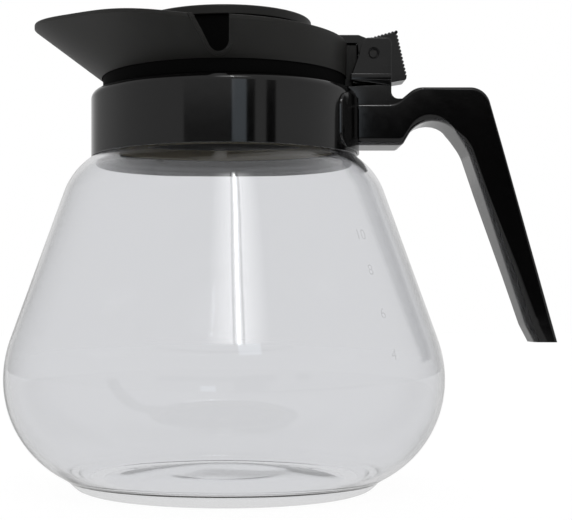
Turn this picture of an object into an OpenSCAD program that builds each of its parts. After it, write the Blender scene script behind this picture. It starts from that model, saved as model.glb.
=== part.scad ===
// Coffee server carafe: glass bowl, collar with handle, pouring funnel and a lid worked by a thumb lever.
// The origin is the middle of the foot on the table, +Z is up and +X points to the handle.

/* [Glass bowl] */
// Largest outer radius of the glass
bowl_r = 82.5; // [80:0.5:86]
// Radius of the round from the foot up to the belly
lower_round_r = 41; // [38:0.5:43]
// Radius of the round from the belly up to the cone
upper_round_r = 46; // [36:0.5:56]
// Slope of the cone from the upright, in degrees
cone_angle = 19.9; // [18:0.1:22]
// How far the cone's upper end stands out past the neck
cone_out = 17.08; // [16:0.01:18.5]
// Radius of the round of the shoulder
shoulder_round_r = 26; // [22:0.5:28]
// Slope at the top of the shoulder from the upright, in degrees
shoulder_angle = 57; // [52:1:62]
// Radius of the hollow between shoulder and neck
neck_fillet_r = 5; // [3:0.5:7]
// Outer radius of the neck
neck_r = 43; // [41:0.5:45]
// Thickness of the glass
glass_t = 2; // [1.5:0.1:2.6]
// How far the outer edge of the foot's flat ring stands in from the widest part
foot_in = 31; // [29.5:0.5:33.5]
// Width of the flat ring that it stands on
foot_w = 4; // [3:0.5:6]
// How far the crease between the foot's round and the belly's round stands in from the widest part
crease_in = 24; // [21.5:0.5:25.5]
// Height of the pushed-up middle of the bottom
punt_h = 3.4; // [2:0.1:4]
// Radius of the pushed-up middle of the bottom
punt_r = 27; // [20:0.5:32]

/* [Collar] */
// Wall of the collar
collar_t = 2.6; // [2:0.1:3.2]
// Height of the collar
collar_h = 24.8; // [24:0.1:27]
// Thickness of the collar's top flange
flange_t = 2.2; // [1.6:0.1:2.6]
// Radius of the collar's rounded top edge
collar_round_r = 3; // [2:0.1:4]
// Thickness of the soft sleeve on the neck
cushion_t = 1.5; // [1:0.1:2]
// Thickness of the sleeve's lip on the glass mouth
cushion_lip_t = 1.2; // [0.8:0.1:1.6]
// Thickness of the steel clamp band
band_t = 0.8; // [0.6:0.1:1.2]
// Width of the steel clamp band
band_w = 8.2; // [6:0.1:8.6]
// Free space between clamp band and collar
band_room = 1.9; // [1.4:0.1:3]
// Length of the band's two lugs outside the collar
lug_l = 10; // [9:0.5:10.5]
// Distance of each lug's inner face from the middle
lug_y = 3.2; // [2.6:0.1:3.6]

/* [Clamp screw] */
// Radius of the clamp screw's thread
screw_r = 2; // [1.6:0.1:2.1]
// Radius of the clamp screw's head
screw_head_r = 3.6; // [3.2:0.1:3.8]
// Height of the clamp screw's head
screw_head_h = 2.6; // [2:0.1:2.8]
// Radius of the socket in the clamp screw's head
screw_socket_r = 1.6; // [1.2:0.1:1.8]
// Distance of the clamp screw's end from the handle's side
screw_end_gap = 2.4; // [1.8:0.1:3]
// Radius of the threaded insert
insert_r = 3; // [2.7:0.1:3.3]
// Distance of the threaded insert's outer end from the handle's side
insert_end_gap = 1.6; // [1.2:0.1:2]

/* [Funnel] */
// How far the funnel's neck ring stands out past the glass neck
neck_ring_out = 2.6; // [1.6:0.1:3]
// How far the funnel's wall stands out past its neck ring, at its foot
funnel_rise_r = 0.5; // [0.3:0.1:1]
// Height of the funnel's neck ring
neck_ring_h = 4.8; // [4.4:0.1:6]
// Thickness of the neck ring's wall
neck_ring_t = 2.2; // [1.8:0.1:2.6]
// Height of the funnel's rim above the neck ring
rim_rise = 12.7; // [11.6:0.1:13.4]
// How far the rim reaches out past the neck ring, on average
rim_reach = 12.7; // [12:0.1:15]
// How far the rim is set over towards the spout
rim_shift = 12.6; // [11.5:0.1:13.4]
// Thickness of the funnel's wall
funnel_t = 2; // [1.6:0.1:2.4]
// Thickness of the rim's edge
rim_edge_t = 1.5; // [1.2:0.1:1.8]
// Height of the rim's upright edge
rim_edge_h = 1.4; // [1:0.1:2]
// How far the rim is drawn in beside the spout
spout_pinch = 5.3; // [0:0.1:7]
// Angle from the spout over which the rim is drawn in, in degrees
spout_span = 80; // [70:1:90]
// Slope of the rim up to the spout's tip, in degrees
spout_slope = 7.2; // [4:0.1:10]
// Wall of the throat
throat_t = 2.4; // [1.8:0.1:2.8]
// Depth of the throat's skirt below the collar's top
throat_h = 12.7; // [10:0.1:15]
// Width of the soft ring between skirt and glass
funnel_seal_w = 5.4; // [5:0.1:6]
// Height of the soft ring between skirt and glass
funnel_seal_h = 6; // [5:0.5:7]
// Height of the floor's seat above the neck ring's upper edge
seat_rise = 0.8; // [0.5:0.1:1.2]
// Radius of the round at the bottom of the side notch
notch_r = 3.6; // [3:0.1:4.2]
// Height of the bottom of the side notch above the neck ring
notch_z = 1.8; // [1.6:0.1:2.6]
// Slope of the side notch's edge on the spout's side, in degrees
notch_angle = 32; // [20:1:36]
// Distance of the side notch from the middle, towards the spout
notch_x = 1.9; // [0:0.1:4]
// Width of the raised border round the side notch
notch_lip_w = 1.3; // [1:0.1:1.6]
// Height of the raised border round the side notch
notch_lip_h = 0.7; // [0.4:0.1:1]

/* [Lid] */
// Gap between the lid's plug and the throat
plug_gap = 1.5; // [1.2:0.1:2]
// Depth of the plug below its seat
plug_h = 4; // [3:0.1:5]
// Wall of the lid cup
cup_t = 2; // [1.6:0.1:2.4]
// Thickness of the lid cup's flange
cup_flange_t = 1.8; // [1.4:0.1:2.2]
// Width of the soft ring under the flange
lid_seal_w = 4.4; // [3.6:0.1:4.6]
// Thickness of the soft ring under the flange
lid_seal_t = 1.4; // [1:0.1:2]
// How far the cap stands out past the lid cup
cap_overhang = 1.3; // [0.8:0.1:1.8]
// Height of the cap's side band
cap_h = 3.5; // [3:0.1:4.5]
// Height of the cap's underside above the funnel's rim
cap_rise = 5.4; // [5.2:0.1:6.6]
// Width of the raised edge of the cap
cap_edge_w = 2; // [1.5:0.1:3]
// Depth of the dish in the cap
dish_h = 1.4; // [0.8:0.1:1.6]
// Radius of the drip hole in the cap
drip_r = 4; // [3.2:0.1:5]
// Radius of the lid screws' thread
lid_screw_r = 1.4; // [1.2:0.1:1.5]
// Radius of the lid screws' heads
lid_screw_head_r = 2.5; // [2.2:0.1:2.6]
// Distance between the two lid screws
lid_screw_pitch = 8; // [7:0.1:9]

/* [Hinge and thumb lever] */
// Distance of the hinge from the collar's surface
hinge_x = 5.4; // [5:0.1:6]
// Height of the hinge above the collar's top
hinge_z = 13.2; // [12.8:0.1:14]
// Radius of the hinge pin
pin_r = 2; // [1.6:0.1:2.2]
// Depth of the pin's ends below the ears' faces
pin_recess = 0.8; // [0.4:0.1:1.2]
// Wall of the lever round the pin
barrel_t = 3; // [2.4:0.1:3.4]
// How much wider the holes in the ears are round the pin's ends
pin_mouth = 0.3; // [0.2:0.05:0.5]
// Width of the lever between the ears
lever_w = 10.4; // [9:0.1:10.6]
// Thickness of the lid arm
arm_t = 3.1; // [2.8:0.1:3.4]
// Gap between the arm and the funnel's rim
arm_gap = 0.5; // [0.4:0.1:0.8]
// Height of the thumb pad's peak above the hinge
pad_h = 9.8; // [9:0.1:10.4]
// Distance of the thumb pad's peak behind the hinge
pad_x = 9.3; // [8.8:0.1:9.8]
// Distance of the thumb pad's lower corner behind the hinge
pad_low_x = 13.1; // [12.4:0.1:13.4]
// Depth of the thumb pad's lower corner below the hinge
pad_low_h = 6.8; // [6:0.1:7]
// Height of the smooth foot under the thumb pad's ribs
pad_foot_h = 2; // [1:0.1:2.2]
// How far the thumb pad's foot is drawn in
pad_heel_in = 0.2; // [0:0.1:0.4]
// How far the foot's underside falls towards its front
pad_toe_h = 1; // [0.6:0.1:1.2]
// Distance of the foot's front behind the hinge
pad_toe_x = 7.2; // [6.6:0.1:8]
// Height of the thumb pad's front edge above the hinge
pad_front_h = 6.9; // [6.4:0.1:7.4]
// Distance of the thumb pad's front edge before the hinge
pad_front_x = 1; // [0.4:0.1:1.6]
// Depth of the thumb pad's ribs
rib_h = 0.6; // [0.3:0.1:0.8]
// Distance from rib to rib
rib_pitch = 1.3; // [1:0.1:2]

/* [Handle] */
// Width of the handle
handle_w = 21.6; // [21:0.2:24]
// Width of the grip at its lower end
grip_end_w = 18.4; // [16:0.2:21]
// Height of the root's underside above the collar's lower edge
root_z = 4.2; // [3.8:0.1:4.4]
// Height of the root
root_h = 15.3; // [15:0.1:16]
// Radius of the hollow under the root, where the arch begins
root_round_r = 2; // [1.5:0.1:3]
// Length of the root's straight top
root_l = 13.8; // [13.2:0.1:14.4]
// Rise from the root to the handle's top
hump_h = 6.1; // [5.6:0.1:7]
// Length over which the handle rises
hump_l = 7.4; // [7:0.1:9]
// Distance of the handle's top corner from the collar
corner_x = 47.1; // [44:0.1:52]
// Radius of the handle's top corner
corner_r = 7.5; // [5:0.5:9]
// Height of the grip from its lower end to the handle's top
grip_h = 94.7; // [85:0.1:105]
// How far the grip runs out over its height
grip_rake = 27; // [22:0.1:32]
// Depth of the grip below the arch
grip_t = 13.1; // [11:0.1:14]
// Depth of the grip at its lower end
grip_end_t = 11.4; // [10:0.1:13]
// Height of the bevel at the grip's lower end
heel_h = 6.4; // [5:0.1:8]
// Radius of the round between the grip's inner side and that bevel
heel_round_r = 9; // [5:0.5:12]
// Radius of the edges along the handle's back
back_edge_r = 1.8; // [1.2:0.1:3]
// Radius of the edges along the handle's inner side
inner_edge_r = 2.8; // [2:0.1:4]
// Distance from the collar at which the arch begins
arch_foot_x = 16.4; // [15:0.1:17.6]
// Distance of the arch's peak from the collar
arch_x = 27.2; // [26:0.1:29]
// Depth of the corner that the arch's round takes off, below the handle's top
arch_h = 2.7; // [2:0.1:4]
// Distance of the arch's lower corner below the handle's top
arch_low_h = 23.7; // [21:0.1:26]
// Radius of the arch's peak
arch_round_r = 10.5; // [9:0.1:12]
// Radius of the arch's lower corner
arch_low_round_r = 20; // [14:0.5:24]
// Half the width of the saddle plate, round the collar
saddle_half_w = 28.5; // [24:0.5:32]
// Thickness of the saddle plate
saddle_t = 2; // [1.6:0.1:2.6]
// Height of the saddle plate
saddle_h = 20; // [18:0.5:21]
// Radius of the saddle plate's corners
saddle_corner_r = 5; // [3:0.5:7]
// Height of the block under the ears above the collar's top
block_h = 1; // [0.6:0.1:1.4]
// Radius of the hollow behind the block
block_round_r = 2.5; // [1.5:0.1:3]
// Height of that hollow's bottom above the root's top
block_hollow_h = 1.9; // [1.2:0.1:2.6]
// Thickness of each ear
ear_t = 5.2; // [4.6:0.1:5.4]
// Height of the gap under the ears
ear_gap = 2.2; // [1.6:0.1:2.6]
// Distance of the ears' back edge behind the hinge
ear_back = 6.7; // [6:0.1:7]
// Width of the web that joins each ear to the block
ear_web_w = 3.1; // [2.6:0.1:4]
// Distance of the ears' front edge before the hinge, at the foot
ear_front = 8; // [7.2:0.1:8.6]
// Distance of the ears' front edge before the hinge, at the top
ear_front_top = 3.2; // [2.6:0.1:4]
// Height of the ledge along the ears' foot
ear_ledge_h = 2.6; // [2:0.1:3.2]
// Depth of the ledge along the ears' foot
ear_ledge_t = 0.5; // [0.2:0.1:0.8]
// Height of the ears' top above the hinge
ear_top = 5.9; // [5.4:0.1:6.2]
// Radius of the ears' top corners
ear_round_r = 2; // [1.5:0.1:2.5]

/* [Fits] */
// Gap between fitted pieces that stay put
fit_gap = 0.1; // [0.05:0.01:0.15]
// Gap between a moving piece and what it passes
move_gap = 0.4; // [0.3:0.05:0.5]
// Gap between lid and funnel at the seat
seat_gap = 0.15; // [0.1:0.01:0.3]
// Gap between pin and lever
pin_play = 0.06; // [0.02:0.01:0.1]

/* [Hidden] */
$fn = 96;
arc_steps = 10;
// Overrun of cuts past the faces that they open
over = 1;
// Gap under the lower round, so that the belly never reaches the table
belly_lift = 0.5;

// Glass outline: centres and ends of its rounds, as [radius, height]
foot_r = bowl_r - foot_in;
foot_crease_r = bowl_r - crease_in;
belly_z = lower_round_r + belly_lift;
lower_c = [bowl_r - lower_round_r, belly_z];
upper_c = [bowl_r - upper_round_r, belly_z];
cone_start = upper_c + upper_round_r * [cos(cone_angle), sin(cone_angle)];
cone_end_r = neck_r + cone_out;
cone_end = [cone_end_r, cone_start.y + (cone_start.x - cone_end_r) / tan(cone_angle)];
shoulder_c = cone_end - shoulder_round_r * [cos(cone_angle), sin(cone_angle)];
shoulder_end = shoulder_c + shoulder_round_r * [cos(shoulder_angle), sin(shoulder_angle)];
fillet_start_r = neck_r + neck_fillet_r * (1 - cos(shoulder_angle));
fillet_start_z = shoulder_end.y + (shoulder_end.x - fillet_start_r) / tan(shoulder_angle);
fillet_c = [neck_r + neck_fillet_r, fillet_start_z + neck_fillet_r * sin(shoulder_angle)];
neck_z = fillet_c.y;
crease_angle = -acos((foot_crease_r - lower_c.x) / lower_round_r);
crease_z = belly_z + lower_round_r * sin(crease_angle);
foot_run = foot_crease_r - foot_r;
foot_round_r = (foot_run * foot_run + crease_z * crease_z) / (2 * crease_z);
foot_c = [foot_r, foot_round_r];
floor_angle = -85;

// Collar, sleeve and clamp band, from the neck outwards
cushion_in_r = neck_r + fit_gap;
band_in_r = cushion_in_r + cushion_t + fit_gap;
collar_in_r = band_in_r + band_t + band_room;
collar_r = collar_in_r + collar_t;
collar_z = shoulder_end.y + (shoulder_end.x - collar_r) / tan(shoulder_angle) + fit_gap;
collar_top_z = collar_z + collar_h;
mouth_z = collar_top_z - flange_t - cushion_lip_t - 2 * fit_gap;
mouth_r = neck_r - glass_t;
band_z = neck_z + (mouth_z - neck_z - band_w) / 3;

// Handle, from the collar outwards
half_w = handle_w / 2;
root_bottom_z = collar_z + root_z;
root_top_z = root_bottom_z + root_h;
handle_top_z = root_top_z + hump_h;
hump_start = [collar_r + root_l, root_top_z];
hump_end = hump_start + [hump_l, hump_h];
corner = [collar_r + corner_x, handle_top_z];
grip_tip = corner + [grip_rake, -grip_h];
arch_start = [collar_r + arch_foot_x, root_bottom_z];
arch_peak = [collar_r + arch_x, handle_top_z - arch_h];
arch_end = corner + [grip_rake * arch_low_h / grip_h - grip_t, -arch_low_h];
// Length of the grip's flat end as a share of the depth there
grip_sole_share = 0.71;
grip_heel = grip_tip + [-grip_end_t, heel_h];
grip_sole = grip_tip + [-grip_sole_share * grip_end_t, 0];
pocket_half_y = lug_y + band_t + move_gap * 2;
pocket_end_x = collar_r + lug_l + 2 * move_gap;
lug_end_x = collar_r + lug_l;
screw_x = collar_r + lug_l - screw_head_r - move_gap;
screw_z = band_z + band_w / 2;
screw_seat_y = pocket_half_y + screw_head_h;
screw_end_y = -half_w + screw_end_gap;
insert_end_y = -half_w + insert_end_gap;

// Hinge, ears and thumb lever, as [x, z]
hinge = [collar_r + hinge_x, collar_top_z + hinge_z];
pad_peak = hinge + [pad_x, pad_h];
pad_low = hinge + [pad_low_x, -pad_low_h];
pad_front = hinge + [-pad_front_x, pad_front_h];
pad_heel = hinge + [pad_low_x - pad_heel_in, -pad_low_h - pad_foot_h];
pad_toe = hinge + [pad_toe_x, -pad_low_h - pad_foot_h - pad_toe_h];
sweep_r = norm(pad_heel - hinge) + move_gap;
slot_half_y = lever_w / 2 + move_gap;
ear_half_y = slot_half_y + ear_t;
block_top_z = collar_top_z + block_h;
ear_low_z = block_top_z + ear_gap;
ear_back_x = hinge.x + ear_back;
barrel_r = pin_r + barrel_t;
// How far the lid opens, in degrees, and where the pad's toe then is, seen from the hinge
lid_angle = 70;
toe = pad_toe - hinge;
open_toe = [toe.x * cos(lid_angle) + toe.y * sin(lid_angle), toe.y * cos(lid_angle) - toe.x * sin(lid_angle)];

// Funnel
ring_r = neck_r + neck_ring_out;
funnel_r = ring_r + funnel_rise_r;
ring_z = collar_top_z + fit_gap;
cone_z = ring_z + neck_ring_h;
rim_z = cone_z + rim_rise;
rim_r = funnel_r + rim_reach;
throat_out_r = mouth_r - fit_gap - funnel_seal_w;
throat_r = throat_out_r - throat_t;
seat_z = cone_z + seat_rise;
notch_c = [-notch_x, cone_z + notch_z + notch_r];
funnel_stations = 72;

// Lid
plug_r = throat_r - plug_gap;
cup_r = plug_r;
seal_z = seat_z + seat_gap;
cup_flange_z = seal_z + lid_seal_t + fit_gap;
cap_z = rim_z + cap_rise;
cap_top_z = cap_z + cap_h;
cap_r = cup_r + cap_overhang;
arm_z = rim_z + arm_gap;
arm_top_z = arm_z + arm_t;
cup_in_r = cup_r - cup_t;
outer_screw_x = cup_in_r - lid_screw_head_r - move_gap;
lid_screw_x = [outer_screw_x - lid_screw_pitch, outer_screw_x];
arm_end_x = lid_screw_x[0] - 2 * lid_screw_r;

// Points of a round about c from angle a to angle b; skip leaves out the first point
function arc(c, r, a, b, skip = 0) =
    [for (i = [skip:arc_steps])
        let (t = a + (b - a) * i / arc_steps)
        c + r * [cos(t), sin(t)]];

function unit(v) = v / norm(v);

// Points of the round of radius r that takes off the corner b between a and c
function turn(a, b, c, r, steps = arc_steps) =
    let (
        u = unit(a - b),
        w = unit(c - b),
        half = acos(u * w) / 2,
        middle = b + unit(u + w) * r / sin(half),
        first = unit(b + u * r / tan(half) - middle),
        last = unit(b + w * r / tan(half) - middle)
    )
    [for (i = [0:steps]) middle + r * unit(first * (1 - i / steps) + last * i / steps)];

// A flat outline in X and Z, given thickness along Y from y0 to y1
module side_plate(outline, y0, y1) {
    translate([0, y1, 0])
        rotate([90, 0, 0])
            linear_extrude(y1 - y0) polygon(outline);
}

// A ring with a rectangular section
module ring(r_in, r_out, z0, z1) {
    translate([0, 0, z0])
        difference() {
            cylinder(r = r_out, h = z1 - z0);
            translate([0, 0, -over]) cylinder(r = r_in, h = z1 - z0 + 2 * over);
        }
}

// A pin along Y from y0 to y1 through the point p in X and Z
module cross_pin(p, r, y0, y1) {
    translate([p.x, y1, p.y]) rotate([90, 0, 0]) cylinder(r = r, h = y1 - y0);
}

module glass_bowl() {
    outer = concat(
        [[0, punt_h], [punt_r, punt_h], [foot_r - foot_w, 0], [foot_r, 0]],
        arc(foot_c, foot_round_r, -90, -90 + 2 * atan(crease_z / foot_run), 1),
        arc(lower_c, lower_round_r, crease_angle, 0, 1),
        arc(upper_c, upper_round_r, 0, cone_angle, 1),
        arc(shoulder_c, shoulder_round_r, cone_angle, shoulder_angle),
        arc(fillet_c, neck_fillet_r, 180 + shoulder_angle, 180)
    );
    mouth = arc([neck_r - glass_t / 2, mouth_z - glass_t / 2], glass_t / 2, 0, 180);
    inner = concat(
        arc(fillet_c, neck_fillet_r + glass_t, 180, 180 + shoulder_angle),
        arc(shoulder_c, shoulder_round_r - glass_t, shoulder_angle, cone_angle),
        arc(upper_c, upper_round_r - glass_t, cone_angle, 0),
        arc(lower_c, lower_round_r - glass_t, 0, floor_angle, 1),
        [[punt_r, punt_h + glass_t], [0, punt_h + glass_t]]
    );
    color("lightblue", 0.4) rotate_extrude() polygon(concat(outer, mouth, inner));
}

module neck_cushion() {
    sleeve_z = neck_z + fit_gap;
    color("dimgray") {
        ring(cushion_in_r, cushion_in_r + cushion_t, sleeve_z, mouth_z + fit_gap + cushion_lip_t);
        ring(mouth_r, cushion_in_r + cushion_t, mouth_z + fit_gap, mouth_z + fit_gap + cushion_lip_t);
    }
}

module clamp_band() {
    color("silver")
        difference() {
            union() {
                ring(band_in_r, band_in_r + band_t, band_z, band_z + band_w);
                for (side = [-1, 1])
                    translate([band_in_r, side > 0 ? lug_y : -lug_y - band_t, band_z])
                        cube([lug_end_x - band_in_r, band_t, band_w]);
            }
            translate([0, -lug_y, band_z - over]) cube([collar_r, 2 * lug_y, band_w + 2 * over]);
            cross_pin([screw_x, screw_z], screw_r + fit_gap, -lug_y - band_t - over, lug_y + band_t + over);
        }
}

module clamp_screw() {
    head_y = screw_seat_y - screw_head_h + fit_gap;
    color("silver")
        difference() {
            union() {
                cross_pin([screw_x, screw_z], screw_r, screw_end_y, head_y + fit_gap);
                cross_pin([screw_x, screw_z], screw_head_r, head_y, head_y + screw_head_h);
            }
            cross_pin([screw_x, screw_z], screw_socket_r, head_y + screw_head_h / 2, half_w + over);
        }
}

module screw_insert() {
    color("goldenrod")
        difference() {
            cross_pin([screw_x, screw_z], insert_r, insert_end_y, -pocket_half_y);
            cross_pin([screw_x, screw_z], screw_r + pin_play, insert_end_y - over, -pocket_half_y + over);
        }
}

module collar() {
    bevel_h = collar_t / tan(shoulder_angle);
    flange_r = mouth_r + 3 * fit_gap;
    flange_z = collar_top_z - flange_t;
    outline = concat(
        [[collar_in_r, collar_z + bevel_h], [collar_r, collar_z]],
        arc([collar_r - collar_round_r, collar_top_z - collar_round_r], collar_round_r, 0, 90),
        [[flange_r, collar_top_z], [flange_r, flange_z], [collar_in_r, flange_z]]
    );
    color([0.07, 0.07, 0.07])
        difference() {
            rotate_extrude() polygon(outline);
            translate([0, -pocket_half_y, band_z - move_gap])
                cube([collar_r + over, 2 * pocket_half_y, band_w + 2 * move_gap]);
        }
}

// Stations along the handle, each as [back point, inner point, half width]
function grip_stations() =
    let (
        heel_back = grip_tip + (corner - grip_tip) * heel_h / grip_h,
        back_line = concat(
            [[collar_r, root_top_z]],
            turn([collar_r, root_top_z], hump_start, hump_end, hump_l, 4),
            turn(hump_start, hump_end, corner, hump_l, 8),
            turn(hump_end, corner, grip_tip, corner_r, 8),
            [for (i = [4:-1:0]) heel_back + (heel_back - grip_tip) * i / 4],
            [grip_tip]
        ),
        inner_line = concat(
            [[collar_r, root_bottom_z]],
            turn([collar_r, root_bottom_z], arch_start, arch_peak, root_round_r, 4),
            turn(arch_start, arch_peak, arch_end, arch_round_r, 8),
            turn(arch_peak, arch_end, grip_heel, arch_low_round_r, 8),
            turn(arch_end, grip_heel, grip_sole, heel_round_r, 4),
            [grip_sole]
        )
    )
    [for (i = [0:len(back_line) - 1])
        let (low = max(0, corner.y - back_line[i].y - arch_low_h) / (grip_h - arch_low_h))
        [back_line[i], inner_line[i], half_w - (handle_w - grip_end_w) / 2 * low]];

// Half of the handle's cross-section, as [depth from the back, distance from the middle]
function grip_half(depth, w) =
    concat(
        turn([0, 0], [0, w], [depth, w], back_edge_r, 4),
        turn([0, w], [depth, w], [depth, 0], inner_edge_r, 4)
    );

module grip() {
    stations = grip_stations();
    n = 2 * len(grip_half(grip_end_t, half_w));
    rings = len(stations);
    points = [for (s = stations)
        let (
            half = grip_half(norm(s[1] - s[0]), s[2]),
            way = unit(s[1] - s[0])
        )
        for (i = [0:n - 1])
            let (
                q = i < n / 2 ? half[i] : half[n - 1 - i],
                p = s[0] + way * q.x
            )
            [p.x, i < n / 2 ? q.y : -q.y, p.y]];
    walls = [for (k = [0:rings - 2]) for (i = [0:n - 1])
        let (a = k * n + i, b = k * n + (i + 1) % n)
        each [[a, b, b + n], [a, b + n, a + n]]];
    ends = concat(
        [for (i = [1:n - 2]) [0, i + 1, i]],
        [for (i = [1:n - 2]) [(rings - 1) * n, (rings - 1) * n + i, (rings - 1) * n + i + 1]]
    );
    polyhedron(points, concat(walls, ends));
}

// Plate that hugs the collar, with rounded corners
module saddle() {
    low_z = collar_z + fit_gap + (saddle_t + fit_gap) / tan(shoulder_angle);
    outline = concat(
        arc([saddle_half_w - saddle_corner_r, low_z + saddle_corner_r], saddle_corner_r, -90, 0),
        arc([saddle_half_w - saddle_corner_r, low_z + saddle_h - saddle_corner_r], saddle_corner_r, 0, 90),
        arc([saddle_corner_r - saddle_half_w, low_z + saddle_h - saddle_corner_r], saddle_corner_r, 90, 180),
        arc([saddle_corner_r - saddle_half_w, low_z + saddle_corner_r], saddle_corner_r, 180, 270)
    );
    intersection() {
        ring(collar_r + fit_gap, collar_r + fit_gap + saddle_t, collar_z, collar_top_z);
        rotate([90, 0, 90]) linear_extrude(collar_r + 2 * saddle_t) polygon(outline);
    }
}

// Block on the root and the two ears above it
module fork() {
    hollow_z = root_top_z + block_hollow_h;
    hollow_end = [hump_start.x + block_hollow_h * hump_l / hump_h, hollow_z];
    back = turn([ear_back_x, hinge.y], [ear_back_x, hollow_z], hollow_end, block_round_r);
    block_x = ring_r + move_gap;
    wedge_tip = [ear_back_x - ear_web_w, block_top_z + ear_gap / 3];
    foot_x = hinge.x - ear_front;
    block = concat(
        [[block_x, root_top_z - saddle_t], [hollow_end.x, root_top_z - saddle_t], hollow_end],
        [for (i = [len(back) - 1:-1:0]) back[i]],
        [[ear_back_x, ear_low_z], wedge_tip, [block_x, block_top_z]]
    );
    top_z = hinge.y + ear_top;
    top_back = [ear_back_x, top_z];
    top_front = [hinge.x - ear_front_top, top_z];
    ear = concat(
        [wedge_tip, [ear_back_x, block_top_z], [ear_back_x, hinge.y]],
        turn([ear_back_x, hinge.y], top_back, top_front, ear_round_r),
        turn(top_back, top_front, [foot_x, ear_low_z + ear_ledge_h], ear_round_r),
        [[foot_x, ear_low_z + ear_ledge_h], [foot_x, ear_low_z]]
    );
    ledge = [
        [foot_x - ear_ledge_t, ear_low_z], [ear_back_x, ear_low_z],
        [ear_back_x, ear_low_z + ear_ledge_h], [foot_x - ear_ledge_t, ear_low_z + ear_ledge_h],
    ];
    side_plate(block, -half_w, half_w);
    for (side = [-1, 1]) {
        in_y = side * slot_half_y;
        out_y = side * ear_half_y;
        side_plate(ear, min(in_y, out_y), max(in_y, out_y));
        ledge_y = out_y + side * ear_ledge_t;
        side_plate(ledge, min(in_y, ledge_y), max(in_y, ledge_y));
    }
}

module handle() {
    color([0.05, 0.05, 0.05])
        difference() {
            union() {
                grip();
                saddle();
                fork();
            }
            translate([0, 0, collar_z]) cylinder(r = collar_r + fit_gap, h = collar_h + fit_gap);
            cross_pin(hinge, sweep_r, -slot_half_y, slot_half_y);
            cross_pin(hinge, pin_r, -ear_half_y - over, ear_half_y + over);
            for (side = [-1, 1]) {
                in_y = side * (ear_half_y - pin_recess);
                out_y = side * (ear_half_y + over);
                cross_pin(hinge, pin_r + pin_mouth, min(in_y, out_y), max(in_y, out_y));
            }
            translate([0, -pocket_half_y, band_z - move_gap])
                cube([pocket_end_x, 2 * pocket_half_y, band_w + 2 * move_gap]);
            cross_pin([screw_x, screw_z], screw_r + fit_gap, 0, half_w);
            cross_pin([screw_x, screw_z], screw_head_r + fit_gap, pocket_half_y + fit_gap, half_w + over);
            cross_pin([screw_x, screw_z], insert_r, insert_end_y, 0);
        }
}

module funnel_seal() {
    low_z = ring_z - throat_h + funnel_seal_h / 2;
    in_r = throat_out_r + fit_gap;
    out_r = mouth_r - fit_gap;
    // Three fins and two gaps of one height
    fin_h = funnel_seal_h / 5;
    color("dimgray") {
        ring(in_r, (in_r + out_r) / 2, low_z, low_z + funnel_seal_h);
        for (i = [0:2]) ring(in_r, out_r, low_z + 2 * i * fin_h, low_z + (2 * i + 1) * fin_h);
    }
}

// Outer rim of the funnel at angle a, grown outwards by grow
function rim_radius(a) =
    let (off = abs(a - 180))
    rim_r - (off < spout_span ? spout_pinch * pow(sin(180 * off / spout_span), 2) : 0);
function rim_height(x) = rim_z + max(0, -rim_shift - x) * tan(spout_slope);

// Wall of the funnel, thickened by grow on both faces
module funnel_wall(grow = 0) {
    steps = funnel_stations;
    points = [for (i = [0:steps - 1])
        let (
            a = 360 * i / steps,
            way = [cos(a), sin(a)],
            low = (funnel_r + grow) * way,
            high = [-rim_shift, 0] + (rim_radius(a) + grow) * way,
            top_z = rim_height(high.x),
            rise = top_z - rim_edge_h - cone_z,
            run = norm(high - low),
            wall = (funnel_t + 2 * grow) * sqrt(rise * rise + run * run) / rise,
            low_in = low - wall * way,
            high_in = high - wall * way,
            edge_in = high - (rim_edge_t + 2 * grow) * way
        )
        each [
            [low.x, low.y, cone_z],
            [high.x, high.y, top_z - rim_edge_h],
            [high.x, high.y, top_z],
            [edge_in.x, edge_in.y, top_z],
            [high_in.x, high_in.y, top_z - rim_edge_h],
            [low_in.x, low_in.y, cone_z],
        ]];
    faces = [for (i = [0:steps - 1]) for (k = [0:5])
        let (a = 6 * i + k, b = 6 * i + (k + 1) % 6, c = (a + 6) % (6 * steps), d = (b + 6) % (6 * steps))
        each [[a, b, d], [a, d, c]]];
    polyhedron(points, faces);
}

// Outline of the side notch, grown by grow
function notch_outline(grow) =
    let (
        r = notch_r + grow,
        top = rim_z + cap_rise,
        left = notch_c + r * [cos(180 + notch_angle), sin(180 + notch_angle)]
    )
    concat(
        [[left.x - (top - left.y) * tan(notch_angle), top]],
        arc(notch_c, r, 180 + notch_angle, 360),
        [[notch_c.x + r, top]]
    );

module side_notches(grow) {
    side_plate(notch_outline(grow), -rim_r - over, -throat_out_r);
    side_plate(notch_outline(grow), throat_out_r, rim_r + over);
}

// Key on the funnel's back, which stands between the ears and keeps the funnel from turning
module funnel_key() {
    low_x = hinge.x + open_toe.x - move_gap;
    high_x = hinge.x - barrel_r - move_gap;
    low_z = block_top_z + move_gap;
    outline = [
        [ring_r - neck_ring_t / 2, low_z], [low_x, low_z], [low_x, hinge.y + open_toe.y],
        [high_x, hinge.y + open_toe.y + 2 * (high_x - low_x)], [high_x, rim_z],
        [rim_r - rim_shift - rim_edge_t / 2, rim_z],
    ];
    side_plate(outline, -lever_w / 2, lever_w / 2);
}

module spout_funnel() {
    base = [
        [throat_r, ring_z - throat_h], [throat_out_r, ring_z - throat_h], [throat_out_r, seat_z - throat_t],
        [ring_r - neck_ring_t, seat_z - throat_t], [ring_r - neck_ring_t, ring_z], [ring_r, ring_z],
        [ring_r, cone_z + seat_rise], [throat_out_r + neck_ring_t, seat_z], [throat_r, seat_z],
    ];
    color([0.12, 0.12, 0.12])
        difference() {
            union() {
                rotate_extrude() polygon(base);
                funnel_wall();
                funnel_key();
                intersection() {
                    funnel_wall(notch_lip_h);
                    side_notches(notch_lip_w);
                }
            }
            side_notches(0);
        }
}

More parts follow.
